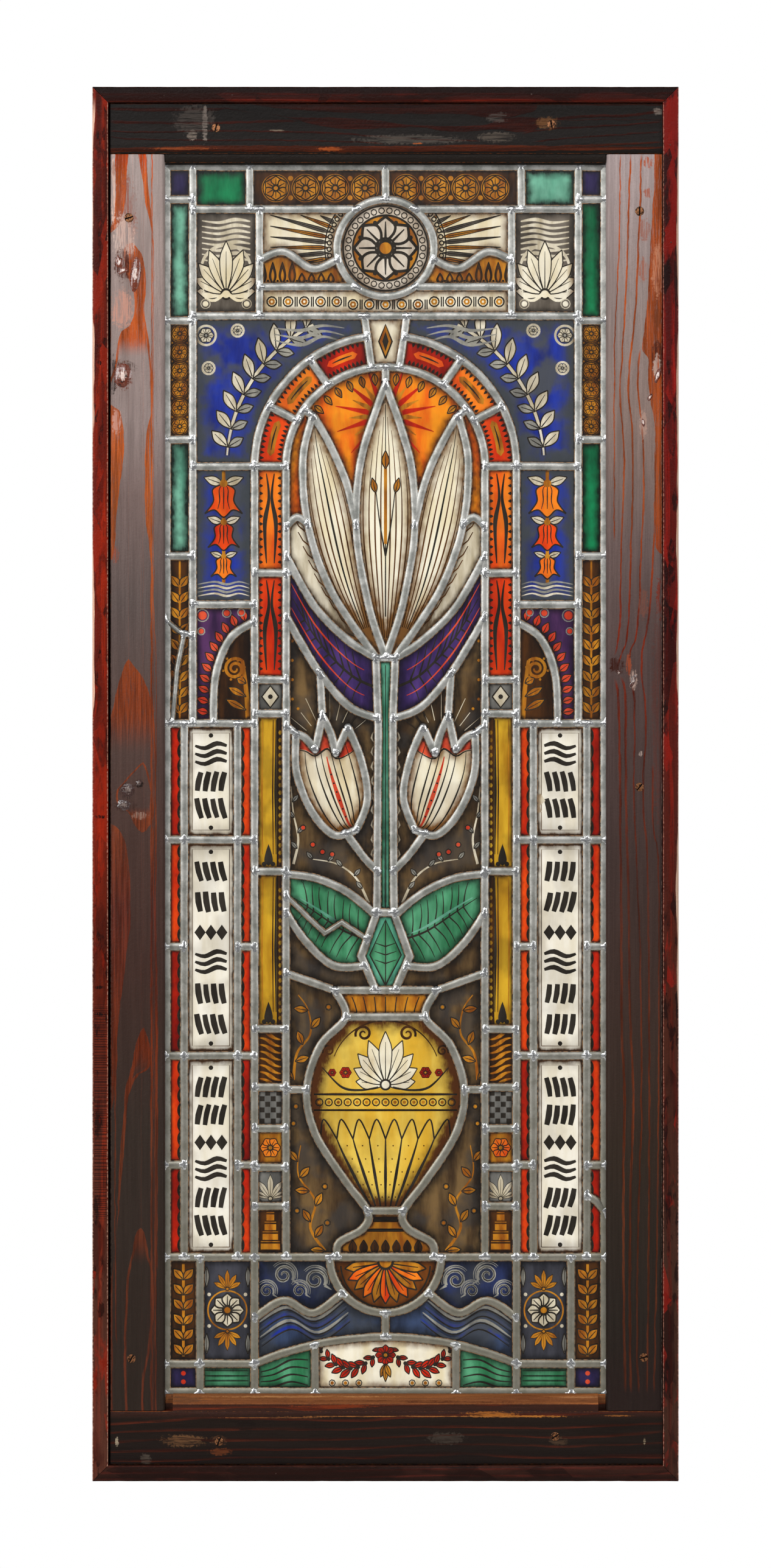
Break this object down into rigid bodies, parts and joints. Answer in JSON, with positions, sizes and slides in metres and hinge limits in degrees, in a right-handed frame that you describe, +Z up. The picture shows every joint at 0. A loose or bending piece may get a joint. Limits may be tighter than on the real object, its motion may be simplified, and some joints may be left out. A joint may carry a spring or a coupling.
{
  "type": "stained glass window",
  "caption": "Tall leaded window of painted coloured glass, an arch over a vase of lilies, in a stained pine sash with a mitred edging.",
  "frame": {"origin": "on the back face, at the middle of the top rail, where the window is hung", "axes": "+Z up along the stiles, +Y out of the back face towards what it hangs on, +X to the right seen from the front, so the front faces -Y"},
  "size_m": [0.482, 0.036, 1.1461],
  "materials": {
    "edging_wood": "dark red stain and worn shellac on softwood",
    "stile_wood": "stained pine, flame grain, faded on one side",
    "rail_wood": "dark stained pine, scuffed and waxed",
    "bead_wood": "plain pine, lightly stained",
    "came_lead": "soft grey lead with brighter solder joints",
    "glass_cream": "painted cream glass with brown matting",
    "glass_silver": "painted pale grey glass",
    "glass_amber": "painted amber glass",
    "glass_yellow": "painted golden yellow glass",
    "glass_orange": "orange to red glass with painted edges",
    "glass_brown": "brown glass with grey wash",
    "glass_green": "green glass with painted edges",
    "glass_teal": "blue green glass",
    "glass_blue": "cobalt blue glass with grey wash",
    "glass_purple": "purple glass with painted pattern"
  },
  "bodies": {
    "root": {"bead_bottom": "bead_wood", "bead_left": "bead_wood", "bead_right": "bead_wood", "bead_top": "bead_wood", "edging_bottom": "edging_wood", "edging_left": "edging_wood", "edging_right": "edging_wood", "edging_top": "edging_wood", "glass_bead_bar": "glass_cream", "glass_border_left": "glass_green", "glass_border_right": "glass_green", "glass_column_left": "glass_orange", "glass_column_right": "glass_orange", "glass_corner_left": "glass_green", "glass_corner_right": "glass_green", "glass_dark_leaf_left": "glass_purple", "glass_dark_leaf_right": "glass_purple", "glass_fan_left": "glass_cream", "glass_fan_right": "glass_cream", "glass_frieze_head_left": "glass_amber", "glass_frieze_head_right": "glass_amber", "glass_frieze_leaf_left": "glass_brown", "glass_frieze_leaf_right": "glass_brown", "glass_garland": "glass_cream", "glass_glow_left": "glass_orange", "glass_glow_right": "glass_orange", "glass_inscription_left": "glass_cream", "glass_inscription_right": "glass_cream", "glass_keystone": "glass_cream", "glass_lower_leaf_left": "glass_green", "glass_lower_leaf_right": "glass_green", "glass_middle_petal": "glass_cream", "glass_roundel": "glass_silver", "glass_shell": "glass_amber", "glass_side_petals_left": "glass_cream", "glass_side_petals_right": "glass_cream", "glass_side_scroll_left": "glass_purple", "glass_side_scroll_right": "glass_purple", "glass_sky_left": "glass_blue", "glass_sky_right": "glass_blue", "glass_spandrel_left": "glass_blue", "glass_spandrel_right": "glass_blue", "glass_stalk_ground_left": "glass_brown", "glass_stalk_ground_right": "glass_brown", "glass_stem": "glass_teal", "glass_tulip_ground_left": "glass_brown", "glass_tulip_ground_right": "glass_brown", "glass_tulip_left": "glass_cream", "glass_tulip_right": "glass_cream", "glass_vase": "glass_yellow", "glass_vase_ground_left": "glass_brown", "glass_vase_ground_right": "glass_brown", "glass_waves_left": "glass_blue", "glass_waves_right": "glass_blue", "lead_cames": "came_lead", "rail_bottom": "rail_wood", "rail_top": "rail_wood", "stile_left": "stile_wood", "stile_right": "stile_wood"}
  },
  "joints": []
}
